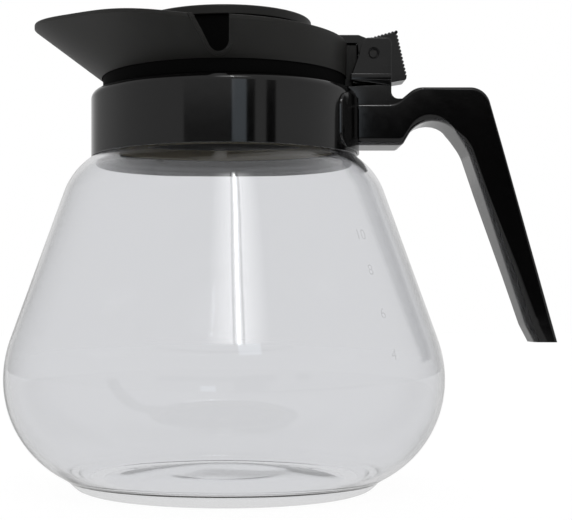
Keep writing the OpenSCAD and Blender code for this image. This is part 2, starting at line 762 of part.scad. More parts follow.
module hinge_pin() {
    color("silver") cross_pin(hinge, pin_r, -ear_half_y + pin_recess, ear_half_y - pin_recess);
}

module lid_cup() {
    low_z = seat_z - plug_h;
    color([0.1, 0.1, 0.1])
        difference() {
            union() {
                ring(cup_in_r, cup_r, low_z, cap_z - fit_gap);
                ring(cup_in_r, plug_r + lid_seal_w, cup_flange_z, cup_flange_z + cup_flange_t);
            }
            translate([0, -lever_w / 2 - fit_gap, arm_z - fit_gap])
                cube([cup_r + over, lever_w + 2 * fit_gap, arm_t + 2 * fit_gap]);
        }
}

module lid_seal() {
    color("dimgray") ring(plug_r + fit_gap, plug_r + lid_seal_w, seal_z, seal_z + lid_seal_t);
}

module lid_cap() {
    spigot_r = cup_in_r - fit_gap;
    spigot_z = arm_top_z + fit_gap;
    boss_r = 2 * lid_screw_r;
    boss_top_z = cap_z + (cap_h - dish_h) / 2;
    outline = [
        [drip_r, cap_z], [cap_r, cap_z], [cap_r, cap_top_z], [cap_r - cap_edge_w, cap_top_z],
        [cap_r - 2 * cap_edge_w, cap_top_z - dish_h], [drip_r, cap_top_z - dish_h],
    ];
    color([0.09, 0.09, 0.09])
        difference() {
            union() {
                rotate_extrude() polygon(outline);
                ring(spigot_r - cup_t, spigot_r, spigot_z, boss_top_z);
                for (x = lid_screw_x)
                    translate([x, 0, spigot_z]) cylinder(r = boss_r, h = boss_top_z - spigot_z);
            }
            for (x = lid_screw_x)
                translate([x, 0, spigot_z - over]) cylinder(r = lid_screw_r, h = over + cap_h);
        }
}

module lever_screws() {
    color("silver")
        for (x = lid_screw_x) {
            translate([x, 0, arm_z - fit_gap - lid_screw_r])
                difference() {
                    cylinder(r = lid_screw_head_r, h = lid_screw_r);
                    translate([0, 0, -over]) cylinder(r = lid_screw_r / 2, h = over + lid_screw_r / 2);
                }
            translate([x, 0, arm_z - fit_gap - lid_screw_r / 3])
                cylinder(r = lid_screw_r, h = arm_t + lid_screw_r);
        }
}

// Ribs along the line from a to b: tips stand on the line, grooves lie rib_h inside it
function ribs(a, b) =
    let (
        count = floor(norm(b - a) / rib_pitch),
        along = (b - a) / count,
        inward = unit([along.y, -along.x]) * rib_h
    )
    [for (i = [0:count - 1]) each [a + along * i, a + along * (i + 0.5) + inward]];

module thumb_lever() {
    outline = concat(
        [[arm_end_x, arm_z], [arm_end_x, arm_top_z], [hinge.x - barrel_r, arm_top_z]],
        ribs(pad_front, pad_peak),
        ribs(pad_peak, pad_low),
        [pad_low, pad_heel, pad_toe],
        arc(hinge, barrel_r, -60, -180),
        [[hinge.x - barrel_r - move_gap, arm_z]]
    );
    color([0.06, 0.06, 0.06])
        difference() {
            side_plate(outline, -lever_w / 2, lever_w / 2);
            cross_pin(hinge, pin_r + pin_play, -half_w, half_w);
            for (x = lid_screw_x)
                translate([x, 0, arm_z - over]) cylinder(r = lid_screw_r + fit_gap, h = arm_t + 2 * over);
        }
}

glass_bowl();
neck_cushion();
clamp_band();
clamp_screw();
screw_insert();
collar();
handle();
funnel_seal();
spout_funnel();
hinge_pin();
lid_cup();
lid_seal();
lid_cap();
lever_screws();
thumb_lever();
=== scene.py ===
import math

import bmesh
import bpy
from mathutils import Matrix, Vector


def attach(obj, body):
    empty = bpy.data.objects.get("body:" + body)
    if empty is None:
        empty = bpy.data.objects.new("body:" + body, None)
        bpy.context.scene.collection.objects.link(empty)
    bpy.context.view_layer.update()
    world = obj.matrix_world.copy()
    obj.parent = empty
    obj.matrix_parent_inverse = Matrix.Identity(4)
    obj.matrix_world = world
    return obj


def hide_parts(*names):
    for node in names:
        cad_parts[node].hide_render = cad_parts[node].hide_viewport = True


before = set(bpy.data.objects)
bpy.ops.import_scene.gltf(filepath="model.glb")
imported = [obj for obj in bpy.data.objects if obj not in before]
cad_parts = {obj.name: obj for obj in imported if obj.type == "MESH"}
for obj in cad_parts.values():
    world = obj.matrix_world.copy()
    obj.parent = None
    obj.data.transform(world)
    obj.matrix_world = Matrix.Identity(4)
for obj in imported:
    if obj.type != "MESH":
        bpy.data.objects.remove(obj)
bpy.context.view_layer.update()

# Glass bowl.
# Clear heat-proof glass, blown into a mould: a foot ring round a pushed-up middle, a wide belly,
# a straight cone, a shoulder and a short neck with a fire-polished lip, all of one even wall.


def arc(centre, radius, start, stop, steps=16):
    """Points [radius, height] of a round, with its angles in degrees."""
    angles = [math.radians(start + (stop - start) * i / steps) for i in range(steps + 1)]
    return [(centre[0] + radius * math.cos(a), centre[1] + radius * math.sin(a)) for a in angles]


def tidied(solid):
    """Joins doubled corners, drops empty faces and turns the rest outwards."""
    shape = bmesh.new()
    shape.from_mesh(solid.data)
    bmesh.ops.remove_doubles(shape, verts=shape.verts, dist=1e-6)
    bmesh.ops.dissolve_degenerate(shape, edges=shape.edges, dist=1e-7)
    bmesh.ops.recalc_face_normals(shape, faces=shape.faces)
    shape.to_mesh(solid.data)
    shape.free()
    return solid


def piece(name, corners, faces):
    """A solid from corners in millimetres."""
    mesh = bpy.data.meshes.new(name)
    mesh.from_pydata([Vector(c) / 1000 for c in corners], [], faces)
    solid = bpy.data.objects.new(name, mesh)
    bpy.context.scene.collection.objects.link(solid)
    return tidied(solid)


def ring_faces(n, rings, gaps):
    """Faces over the first gaps between rings of n corners. After the last ring comes the first."""
    return [
        (i * n + k, i * n + (k + 1) % n, (i + 1) % rings * n + (k + 1) % n, (i + 1) % rings * n + k)
        for i in range(gaps)
        for k in range(n)
    ]


def turned(name, outline, sides=160):
    """A solid of revolution from a closed outline of [radius, height]."""
    angles = [2 * math.pi * i / sides for i in range(sides)]
    corners = [(r * math.cos(a), r * math.sin(a), z) for a in angles for r, z in outline]
    return piece(name, corners, ring_faces(len(outline), sides, sides))


def evaluated_mesh(carrier):
    """The plain mesh that an object's modifiers make."""
    graph = bpy.context.evaluated_depsgraph_get()
    return bpy.data.meshes.new_from_object(carrier.evaluated_get(graph))


def set_mesh(solid, modifier):
    """Makes a modifier's result the solid's own mesh."""
    mesh = evaluated_mesh(solid)
    solid.modifiers.remove(modifier)
    solid.data = mesh


def polish(solid, crease=35, flats=True):
    """Smooth shading, with edges kept sharp where the surface turns by more than crease, and with
    broad flats kept flat up to the rounds beside them."""
    for face in solid.data.polygons:
        face.use_smooth = True
    solid.data.set_sharp_from_angle(angle=math.radians(crease))
    if flats:
        weighted = solid.modifiers.new("weighted", "WEIGHTED_NORMAL")
        weighted.keep_sharp = True
        weighted.weight = 80
        set_mesh(solid, weighted)


def dress(solid, node, body):
    """Shows a solid in place of a node of the part, and hangs it on the body so that it moves with
    it.
    """
    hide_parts(node)
    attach(solid, body)


class Wire:
    """A node's output. Sums written with it add Math nodes to its tree."""

    def __init__(self, plan, socket):
        self.plan = plan
        self.socket = socket

    def of(self, name):
        """Another output of the same node."""
        return Wire(self.plan, self.socket.node.outputs[name])

    def math(self, operation, *values):
        return self.plan.add("ShaderNodeMath", {"operation": operation}, dict(enumerate(values)))

    def ease(self, low, high):
        """Rises softly from 0 at low to 1 at high."""
        return self.plan.add("ShaderNodeMapRange", {"interpolation_type": "SMOOTHSTEP"}, {
            "Value": self, "From Min": low, "From Max": high})

    def __add__(self, other):
        return self.math("ADD", self, other)

    def __sub__(self, other):
        return self.math("SUBTRACT", self, other)

    def __rsub__(self, other):
        return self.math("SUBTRACT", other, self)

    def __mul__(self, other):
        return self.math("MULTIPLY", self, other)

    def __truediv__(self, other):
        return self.math("DIVIDE", self, other)

    def __rtruediv__(self, other):
        return self.math("DIVIDE", other, self)

    def __lt__(self, other):
        return self.math("LESS_THAN", self, other)

    def __gt__(self, other):
        return self.math("GREATER_THAN", self, other)

    def __neg__(self):
        return self * -1

    def __abs__(self):
        return self.math("ABSOLUTE", self)

    def __or__(self, other):
        """The larger of two values."""
        return self.math("MAXIMUM", self, other)

    def __and__(self, other):
        """The smaller of two values."""
        return self.math("MINIMUM", self, other)

    __radd__ = __add__
    __rmul__ = __mul__
    __ror__ = __or__
    __rand__ = __and__


class Plan:
    """Builds a node tree, one node at a time."""

    def __init__(self, tree):
        self.tree = tree
        tree.nodes.clear()

    def add(self, kind, settings=None, sockets=None, out=0):
        """A node of this kind: its settings first, then the values or links of its sockets."""
        node = self.tree.nodes.new(kind)
        for name, value in (settings or {}).items():
            setattr(node, name, value)
        for name, value in (sockets or {}).items():
            if isinstance(value, Wire):
                self.tree.links.new(value.socket, node.inputs[name])
            else:
                node.inputs[name].default_value = value
        return Wire(self, node.outputs[out]) if len(node.outputs) else node

    def cloud(self, scale, detail=2, stretch=(1, 1, 1)):
        """Soft noise, with about scale spots to the metre, drawn out by stretch."""
        coords = self.add("ShaderNodeTexCoord", None, None, "Object")
        place = self.add("ShaderNodeMapping", None, {"Vector": coords, "Scale": stretch})
        return self.add("ShaderNodeTexNoise", {"noise_dimensions": "3D"}, {
            "Vector": place, "Scale": scale, "Detail": detail})

    def ripple(self, height, strength, distance):
        """A normal bent by a height map; distance is the height of a full step, in metres."""
        return self.add("ShaderNodeBump", None, {
            "Height": height, "Strength": strength, "Distance": distance})

    def blend(self, share, first, second):
        """A colour between two others."""
        return self.add("ShaderNodeMix", {"data_type": "RGBA"}, {
            "Factor": share, 6: (*first, 1), 7: (*second, 1)}, 2)


def finish(name, mix):
    """A material whose shader sockets come from mix(plan), as a dictionary."""
    material = bpy.data.materials.new(name)
    material.use_nodes = True
    plan = Plan(material.node_tree)
    shader = plan.add("ShaderNodeBsdfPrincipled", None, mix(plan))
    plan.add("ShaderNodeOutputMaterial", None, {"Surface": shader})
    return material


def blown_glass(plan):
    waves = plan.cloud(22, 1, (1, 1, 0.5))
    return {
        "Base Color": (0.955, 0.96, 0.975, 1),
        "Roughness": 0.0,
        "IOR": 1.47,
        "Transmission Weight": 1.0,
        "Normal": plan.ripple(waves, 0.3, 0.0012),
    }


# Sizes are in millimetres and degrees, apart from those that a node tree takes in metres.
bowl_r, belly_z, glass_t = 82.5, 41.5, 2
lower_r, upper_r, cone_angle, cone_end_r = 41, 46, 19.9, 60.08
shoulder_r, shoulder_angle = 26, 57
neck_r, neck_fillet_r, mouth_z = 43, 5, 145.625
foot_r, foot_w, crease_r = 51.5, 4, 58.5
punt_r, punt_h, punt_ease, punt_edge = 27, 3.4, 5, 1.5
foot_round_share, crease_gap_angle, floor_angle = 0.9, 2.5, 85
sides_round = 192

cone_turn = (math.cos(math.radians(cone_angle)), math.sin(math.radians(cone_angle)))
shoulder_turn = (math.cos(math.radians(shoulder_angle)), math.sin(math.radians(shoulder_angle)))
lower_c = (bowl_r - lower_r, belly_z)
upper_c = (bowl_r - upper_r, belly_z)
cone_start = Vector((upper_c[0] + upper_r * cone_turn[0], belly_z + upper_r * cone_turn[1]))
cone_rise = (cone_start.x - cone_end_r) * cone_turn[0] / cone_turn[1]
cone_end = Vector((cone_end_r, cone_start.y + cone_rise))
shoulder_c = cone_end - shoulder_r * Vector(cone_turn)
shoulder_end = shoulder_c + shoulder_r * Vector(shoulder_turn)
fillet_start_r = neck_r + neck_fillet_r * (1 - shoulder_turn[0])
fillet_rise = (shoulder_end.x - fillet_start_r) * shoulder_turn[0] / shoulder_turn[1]
fillet_start_z = shoulder_end.y + fillet_rise
fillet_c = (neck_r + neck_fillet_r, fillet_start_z + neck_fillet_r * shoulder_turn[1])
crease_angle = -math.degrees(math.acos((crease_r - lower_c[0]) / lower_r))
crease_z = belly_z + lower_r * math.sin(math.radians(crease_angle))
foot_run = crease_r - foot_r
foot_round_r = (foot_run**2 + crease_z**2) / (2 * crease_z)
foot_turn = -90 + math.degrees(2 * math.atan(crease_z / foot_run))
foot_round_end = -90 + foot_round_share * (90 + foot_turn)
punt_end_r = foot_r - foot_w - punt_edge


def punt(r):
    """Rise of the pushed-up middle: flat over the centre, then softly down to the foot ring."""
    t = min(1, max(0, (r - punt_r + punt_ease) / (punt_end_r - punt_r + punt_ease)))
    return punt_h * (1 - t * t * (3 - 2 * t))


punt_radii = [punt_end_r * i / 30 for i in range(31)]
floor_z = belly_z - (lower_r - glass_t) * math.sin(math.radians(floor_angle))
floor_rise = punt_h + glass_t - floor_z
outside = [
    *[(r, punt(r)) for r in punt_radii],
    (foot_r - foot_w, 0),
    *arc((foot_r, foot_round_r), foot_round_r, -90, foot_round_end, 8),
    *arc(lower_c, lower_r, crease_angle + crease_gap_angle, 0, 40),
    *arc(upper_c, upper_r, 0.5, cone_angle, 14),
    *[tuple(cone_start.lerp(cone_end, i / 20)) for i in range(1, 20)],
    *arc(shoulder_c, shoulder_r, cone_angle, shoulder_angle, 18),
    *arc(fillet_c, neck_fillet_r, 180 + shoulder_angle, 180, 10),
    *arc((neck_r - glass_t / 2, mouth_z - glass_t / 2), glass_t / 2, 0, 180, 10),
]
inside = [
    *arc(fillet_c, neck_fillet_r + glass_t, 180, 180 + shoulder_angle, 10),
    *arc(shoulder_c, shoulder_r - glass_t, shoulder_angle, cone_angle, 18),
    *arc(upper_c, upper_r - glass_t, cone_angle, 0, 14),
    *arc(lower_c, lower_r - glass_t, -0.5, -floor_angle, 44),
    *[(r, punt(r) * floor_rise / punt_h + floor_z) for r in reversed(punt_radii[:-1])],
]
bowl = turned("glass_bowl_blown", outside + inside, sides_round)
bowl.data.materials.append(finish("clear_blown_glass", blown_glass))
polish(bowl, 60, False)
dress(bowl, "glass_bowl", "jug")

# Level marks.
# Plain numbers of pale enamel, screened on the outside of the cone and fired on. They stand one
# above the other on one line of the bowl, half-way round towards the handle.


def enamel(plan):
    return {
        "Base Color": (0.42, 0.42, 0.43, 1),
        "Roughness": 0.4,
        "Alpha": 0.17 + 0.08 * plan.cloud(900),
    }


def tree_for(name, sizes):
    """A Geometry Nodes tree with a geometry input and these named sizes, and its plan."""
    tree = bpy.data.node_groups.new(name, "GeometryNodeTree")
    tree.interface.new_socket("Geometry", in_out="INPUT", socket_type="NodeSocketGeometry")
    for size in sizes:
        tree.interface.new_socket(size, in_out="INPUT", socket_type="NodeSocketFloat")
    tree.interface.new_socket("Geometry", in_out="OUTPUT", socket_type="NodeSocketGeometry")
    plan = Plan(tree)
    return tree, plan, plan.add("NodeGroupInput")


def end_tree(plan, geometry, material):
    """Ends a tree: instances made real, then the material."""
    real = plan.add("GeometryNodeRealizeInstances", None, {"Geometry": geometry})
    coloured = plan.add("GeometryNodeSetMaterial", None, {"Geometry": real, "Material": material})
    plan.add("NodeGroupOutput", None, {"Geometry": coloured})


def grown(name, tree, sizes, start=None):
    """The plain mesh that a tree makes from the mesh start with these sizes."""
    carrier = bpy.data.objects.new(name + "_start", start or bpy.data.meshes.new(name + "_start"))
    bpy.context.scene.collection.objects.link(carrier)
    grower = carrier.modifiers.new(name, "NODES")
    grower.node_group = tree
    for item in tree.interface.items_tree:
        if item.in_out == "INPUT" and item.name in sizes:
            grower[item.identifier] = sizes[item.name]
    mesh = evaluated_mesh(carrier)
    mesh.name = name
    carrier.modifiers.remove(grower)
    bpy.data.objects.remove(carrier)
    solid = bpy.data.objects.new(name, mesh)
    bpy.context.scene.collection.objects.link(solid)
    return solid


mark_enamel = finish("pale_enamel", enamel)
mark_sizes = {
    "bowl radius at mark": 0.07,
    "height of mark": 0.1,
    "turn round the bowl": math.radians(44.5),
    "figure height": 0.0054,
    "film": 0.00006,
    "slope": math.radians(cone_angle),
}


def mark_tree(text):
    """Figures laid on the cone: along the slope by height, round the bowl by width."""
    tree, plan, sizes = tree_for("level_mark_" + text, mark_sizes)
    figures = plan.add("GeometryNodeStringToCurves", {"align_x": "CENTER", "align_y": "MIDDLE"}, {
        "String": text, "Size": sizes.of("figure height")})
    real = plan.add("GeometryNodeRealizeInstances", None, {"Geometry": figures})
    flat = plan.add("GeometryNodeFillCurve", {"mode": "TRIANGLES"}, {"Curve": real})
    fine = plan.add("GeometryNodeSubdivideMesh", None, {"Mesh": flat, "Level": 1})
    at = plan.add("ShaderNodeSeparateXYZ", None, {"Vector": plan.add("GeometryNodeInputPosition")})
    slope = sizes.of("slope")
    sine, cosine = slope.math("SINE", slope), slope.math("COSINE", slope)
    radius = sizes.of("bowl radius at mark") - at.of("Y") * sine + sizes.of("film") * cosine
    turn = sizes.of("turn round the bowl") + at.of("X") / sizes.of("bowl radius at mark")
    place = plan.add("ShaderNodeCombineXYZ", None, {
        "X": radius * turn.math("SINE", turn),
        "Y": -radius * turn.math("COSINE", turn),
        "Z": sizes.of("height of mark") + at.of("Y") * cosine + sizes.of("film") * sine,
    })
    laid = plan.add("GeometryNodeSetPosition", None, {"Geometry": fine, "Position": place})
    end_tree(plan, laid, mark_enamel)
    return tree


mark_heights = {"10": 93.1, "8": 80.9, "6": 66.1, "4": 52.2}
for text, z in mark_heights.items():
    slope = min(math.radians(cone_angle), math.asin(min(1, (z - belly_z) / upper_r)))
    radius = upper_c[0] + upper_r * math.cos(slope)
    radius -= max(0, z - cone_start.y) * cone_turn[1] / cone_turn[0]
    mark = grown("level_mark_" + text, mark_tree(text), {
        **mark_sizes,
        "bowl radius at mark": radius / 1000,
        "height of mark": z / 1000,
        "slope": slope,
    })
    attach(mark, "jug")

# Fittings inside the collar.
# A soft sleeve of pale brown rubber sits on the glass neck, and a strap of spring steel is drawn
# round it by a screw that runs into a brass insert in the handle's root.


def soft_rubber(plan):
    grain = plan.cloud(1400, 3)
    return {
        "Base Color": plan.blend(grain, (0.03, 0.03, 0.031), (0.05, 0.05, 0.05)),
        "Roughness": 0.62 + 0.2 * grain,
        "Specular IOR Level": 0.35,
        "Normal": plan.ripple(grain, 0.4, 0.00008),
    }


def warm_rubber(plan):
    grain = plan.cloud(1400, 3)
    return {
        "Base Color": plan.blend(grain, (0.33, 0.29, 0.2), (0.4, 0.35, 0.25)),
        "Roughness": 0.6 + 0.2 * grain,
        "Normal": plan.ripple(grain, 0.4, 0.00008),
    }


def drawn_steel(plan):
    streaks = plan.cloud(260, 4, (1, 9, 9))
    return {
        "Base Color": plan.blend(streaks, (0.5, 0.5, 0.49), (0.66, 0.66, 0.65)),
        "Metallic": 1.0,
        "Roughness": 0.24 + 0.16 * streaks,
        "Normal": plan.ripple(streaks, 0.3, 0.00004),
    }


def turned_brass(plan):
    rings = plan.cloud(500, 2, (1, 12, 1))
    return {
        "Base Color": plan.blend(rings, (0.62, 0.45, 0.19), (0.76, 0.58, 0.28)),
        "Metallic": 1.0,
        "Roughness": 0.22 + 0.2 * rings,
        "Normal": plan.ripple(rings, 0.3, 0.00004),
    }


def coat(material, *nodes):
    """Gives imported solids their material."""
    for node in nodes:
        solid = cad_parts[node]
        solid.data.materials.clear()
        solid.data.materials.append(material)


coat(finish("soft_rubber_brown", warm_rubber), "neck_cushion")
coat(finish("soft_rubber_black", soft_rubber), "funnel_seal", "lid_seal")
coat(finish("drawn_steel", drawn_steel), "clamp_band", "clamp_screw", "lever_screws")
coat(finish("turned_brass", turned_brass), "screw_insert")

# Collar.
# A hard black plastic ring, injection moulded in a polished mould, with a rounded upper edge and
# a thin lower edge that follows the glass shoulder. The lugs of the steel strap pass through it.


def gloss_black(plan):
    waves = plan.cloud(60, 2)
    haze = plan.cloud(420, 3)
    return {
        "Base Color": plan.blend(waves, (0.0014, 0.0014, 0.0016), (0.0024, 0.0022, 0.0022)),
        "Roughness": 0.06 + 0.06 * haze,
        "IOR": 1.5,
        "Normal": plan.ripple(waves, 0.07, 0.0003),
    }


def rounded(corners, steps=5):
    """An outline from corners of [x, z, radius], with each corner rounded."""
    outline = []
    for i, (x, z, r) in enumerate(corners):
        here = Vector((x, z))
        if r <= 0:
            outline.append((x, z))
            continue
        u = (Vector(corners[i - 1][:2]) - here).normalized()
        w = (Vector(corners[(i + 1) % len(corners)][:2]) - here).normalized()
        half = math.acos(max(-1, min(1, u.dot(w)))) / 2
        middle = here + (u + w).normalized() * r / math.sin(half)
        first = (here + u * r / math.tan(half) - middle) / r
        last = (here + w * r / math.tan(half) - middle) / r
        for k in range(steps + 1):
            spoke = (first * (1 - k / steps) + last * k / steps).normalized()
            outline.append(tuple(middle + r * spoke))
    return outline


def join(solid, tool, operation="UNION"):
    """Joins a tool solid to a solid, or cuts it away, and takes the tool off the table."""
    cutter = solid.modifiers.new(operation, "BOOLEAN")
    cutter.operation = operation
    cutter.solver = "EXACT"
    cutter.object = tool
    set_mesh(solid, cutter)
    bpy.data.objects.remove(tool)


def block(name, low, high):
    """A block between two opposite corners."""
    corners = [
        (x, y, z) for x in (low[0], high[0]) for y in (low[1], high[1]) for z in (low[2], high[2])
    ]
    faces = [(0, 1, 3, 2), (4, 6, 7, 5), (0, 4, 5, 1), (2, 3, 7, 6), (0, 2, 6, 4), (1, 5, 7, 3)]
    return piece(name, corners, faces)


black_gloss = finish("gloss_black_moulding", gloss_black)
collar_in_r, collar_r, collar_z, collar_top_z = 47.4, 50, 124.425, 149.225
collar_wall, collar_round_r = 2.6, 3
flange_r, flange_z = 41.3, 147.025
lug_half_y, lug_low_z, lug_top_z = 4.8, 133.13, 142.13


def lug_room(name, reach):
    """The way of the strap's two lugs, from inside the collar out to reach."""
    return block(name, (40, -lug_half_y, lug_low_z), (reach, lug_half_y, lug_top_z))


collar = turned("collar_moulded", rounded([
    (collar_in_r, collar_z + collar_wall / math.tan(math.radians(shoulder_angle)), 0.3),
    (collar_r, collar_z, 0.25),
    (collar_r, collar_top_z, collar_round_r),
    (flange_r, collar_top_z, 0.3),
    (flange_r, flange_z, 0.3),
    (collar_in_r, flange_z, 0.4),
], 8), sides_round)
join(collar, lug_room("lug_opening", 60), "DIFFERENCE")
collar.data.materials.append(black_gloss)
polish(collar)
dress(collar, "collar", "jug")

# Handle.
# One black gloss moulding: a saddle plate that hugs the collar, a root, an arch for the first
# finger, a raked grip with rounded edges, and two ears that hold the lid's hinge pin.


def corner_round(before, corner, after, radius, steps):
    """Points of the round that takes off one corner of a line."""
    return rounded([(*before, 0), (*corner, radius), (*after, 0)], steps)[1:-1]


def prism(name, corners, n):
    """A solid between two like outlines of n corners."""
    ends = [tuple(range(n)), tuple(range(2 * n - 1, n - 1, -1))]
    return piece(name, corners, ends + ring_faces(n, 2, 1))


def side_plate(name, outline, y0, y1):
    """A flat outline of [x, z], given thickness from y0 to y1."""
    return prism(name, [(x, y, z) for y in (y0, y1) for x, z in outline], len(outline))


def cross_pin(name, x, z, radius, y0, y1, sides=64):
    """A round bar along Y."""
    return side_plate(name, arc((x, z), radius, 0, 360, sides)[:-1], y0, y1)


def soften(solid, width, steps=3, angle=40):
    """Breaks the sharp edges of a solid."""
    bevel = solid.modifiers.new("soften", "BEVEL")
    bevel.width = width / 1000
    bevel.segments = steps
    bevel.limit_method = "ANGLE"
    bevel.angle_limit = math.radians(angle)
    set_mesh(solid, bevel)


half_w, grip_end_w, grip_h, arch_low_h = 10.8, 18.4, 94.7, 23.7
root_bottom_z, root_top_z, handle_top_z = 128.625, 143.925, 150.025
hump_start, hump_end = (63.8, root_top_z), (71.2, handle_top_z)
top_corner = (97.1, handle_top_z)
grip_tip, heel_back = Vector((124.1, 55.325)), Vector((122.275, 61.725))
arch_start, arch_peak = (66.4, root_bottom_z), (77.2, 147.325)
arch_end, grip_heel, grip_sole = (90.757, 126.325), (112.7, 61.725), (116.006, 55.325)
hump_r, top_r, arch_foot_r, arch_peak_r, arch_end_r, heel_r = 7.4, 7.5, 2, 10.5, 20, 9
back_edge_r, root_edge_r, grip_edge_r = 1.2, 2.8, 4.5


def between(first, last, steps=14):
    """Points of a straight run, without its two ends."""
    return [tuple(Vector(first).lerp(Vector(last), i / steps)) for i in range(1, steps)]


back_line = [
    (collar_r, root_top_z),
    *corner_round((collar_r, root_top_z), hump_start, hump_end, hump_r, 10),
    *corner_round(hump_start, hump_end, top_corner, hump_r, 14),
    *(top_round := corner_round(hump_end, top_corner, grip_tip, top_r, 18)),
    *between(top_round[-1], heel_back + heel_back - grip_tip),
    *[tuple(heel_back + (heel_back - grip_tip) * i / 8) for i in range(8, -1, -1)],
    tuple(grip_tip),
]
heel_round = corner_round(arch_end, grip_heel, grip_sole, heel_r, 8)
inner_line = [
    (collar_r, root_bottom_z),
    *corner_round((collar_r, root_bottom_z), arch_start, arch_peak, arch_foot_r, 10),
    *corner_round(arch_start, arch_peak, arch_end, arch_peak_r, 14),
    *(arch_round := corner_round(arch_peak, arch_end, grip_heel, arch_end_r, 18)),
    *between(arch_round[-1], heel_round[0]),
    *heel_round,
    grip_sole,
]

# One ring of corners for each pair of points: narrower and rounder towards the grip's tip.
grip_corners = []
for back, inner in zip(back_line, inner_line):
    low = max(0, handle_top_z - back[1] - arch_low_h) / (grip_h - arch_low_h)
    width = half_w - (2 * half_w - grip_end_w) / 2 * low
    across = Vector(inner) - Vector(back)
    depth = across.length
    inner_edge_r = root_edge_r + (grip_edge_r - root_edge_r) * min(1, 2 * low)
    half_section = rounded([
        (0, 0, 0), (0, width, back_edge_r), (depth, width, inner_edge_r), (depth, 0, 0)], 10)[1:-1]
    section = half_section + [(d, -w) for d, w in reversed(half_section)]
    grip_corners += [
        (back[0] + across.x * d / depth, w, back[1] + across.y * d / depth) for d, w in section
    ]
n, rings = len(section), len(back_line)
grip_ends = [tuple(range(n)), tuple(range(rings * n - 1, (rings - 1) * n - 1, -1))]
handle = piece("handle_moulded", grip_corners, ring_faces(n, rings, rings - 1) + grip_ends)
soften(handle, 0.5, 3, 50)

saddle_half_w, saddle_low_z, saddle_top_z, saddle_corner_r = 28.5, 125.889, 145.889, 5
saddle_in_r, saddle_out_r = collar_r + 0.1, collar_r + 0.9
saddle_outline = rounded([
    (-saddle_half_w, saddle_low_z, saddle_corner_r), (saddle_half_w, saddle_low_z, saddle_corner_r),
    (saddle_half_w, saddle_top_z, saddle_corner_r), (-saddle_half_w, saddle_top_z, saddle_corner_r),
], 8)
saddle = prism("saddle", [
    (x, y, z) for x in (30, 60) for y, z in saddle_outline], len(saddle_outline))
join(saddle, turned("saddle_wall", [
    (saddle_in_r, 124), (saddle_out_r, 124), (saddle_out_r, 148), (saddle_in_r, 148)]), "INTERSECT")
soften(saddle, 0.15, 2)

hinge_x, hinge_z, pin_r = 55.4, 162.425, 2
block_x, block_low_z, block_top_z = 46, root_top_z - 2, 150.225
block_end_x, hollow_z, hollow_r = 66.105, 145.825, 2.5
ear_front_x, ear_slope_x, ear_back_x = 47.4, 52.2, 62.1
ear_low_z, ear_top_z, ledge_z, ledge_step = 152.425, 168.325, 155.025, 0.5
slot_half_y, ear_half_y, fork_half_w = 5.6, 10.8, 10.2
wedge = (ear_back_x - 3.1, block_top_z + 2.2 / 3)
fork = side_plate("fork_block", rounded([
    (block_x, block_low_z, 0), (block_end_x, block_low_z, 0), (block_end_x, hollow_z, 0),
    (ear_back_x, hollow_z, hollow_r), (ear_back_x, ear_low_z, 0),
    (*wedge, 0.2), (block_x, block_top_z, 0.4),
]), -fork_half_w, fork_half_w)
soften(fork, 0.45)
ears = []
for side in (-1, 1):
    ear = side_plate("ear", rounded([
        (*wedge, 0), (ear_back_x, block_top_z, 0),
        (ear_back_x, ear_top_z, 2), (ear_slope_x, ear_top_z, 2),
        (ear_front_x, ledge_z, 0.4), (ear_front_x, ear_low_z, 0.4),
    ]), side * slot_half_y, side * ear_half_y)
    soften(ear, 0.6)
    ledge = side_plate("ledge", [
        (ear_front_x - ledge_step, ear_low_z), (ear_back_x, ear_low_z),
        (ear_back_x, ledge_z), (ear_front_x - ledge_step, ledge_z),
    ], side * (slot_half_y + 0.6), side * (ear_half_y + ledge_step))
    soften(ledge, 0.4)
    ears += [ear, ledge]

room_r, room_top_z, room_round_r, lever_swing_r = 50.1, collar_top_z + 0.1, 3.1, 16.016
beyond_y, mouth_r, mouth_y = 14, pin_r + 0.3, ear_half_y - 0.8
screw_x, screw_z, screw_head_r, insert_r = 56, 137.63, 3.7, 3
for part in (saddle, fork, *ears):
    join(handle, part)
for tool in (
    turned("collar_room", rounded([
        (0, 120, 0), (room_r, 120, 0), (room_r, room_top_z, room_round_r), (0, room_top_z, 0),
    ], 10), sides_round),
    cross_pin("lever_room", hinge_x, hinge_z, lever_swing_r, -slot_half_y, slot_half_y, 128),
    cross_pin("pin_bore", hinge_x, hinge_z, pin_r, -beyond_y, beyond_y),
    cross_pin("pin_mouth_near", hinge_x, hinge_z, mouth_r, -beyond_y, -mouth_y),
    cross_pin("pin_mouth_far", hinge_x, hinge_z, mouth_r, mouth_y, beyond_y),
    cross_pin("screw_room", screw_x, screw_z, screw_head_r, 4.9, beyond_y),
    lug_room("lug_room", 60.8),
    cross_pin("insert_room", screw_x, screw_z, insert_r, -9.2, 0),
):
    join(handle, tool, "DIFFERENCE")
handle.data.materials.append(black_gloss)
polish(handle, 32)
dress(handle, "handle", "jug")

# Hinge pin.
# Steel bar, pressed through both ears and the lid's barrel, coloured near-black as painted shade
# for its tips in the bore's mouths. Its turned-down tips stand back a little in the mouths of the
# bore.


# Steel darkened to near black: painted shade for the pin's tips in the dim mouths of the bore.
def shade_darkened_steel(plan):
    streaks = plan.cloud(900, 3)
    return {
        "Base Color": plan.blend(streaks, (0.035, 0.035, 0.036), (0.06, 0.058, 0.056)),
        "Metallic": 1.0,
        "Roughness": 0.38 + 0.2 * streaks,
        "Normal": plan.ripple(streaks, 0.3, 0.00004),
    }


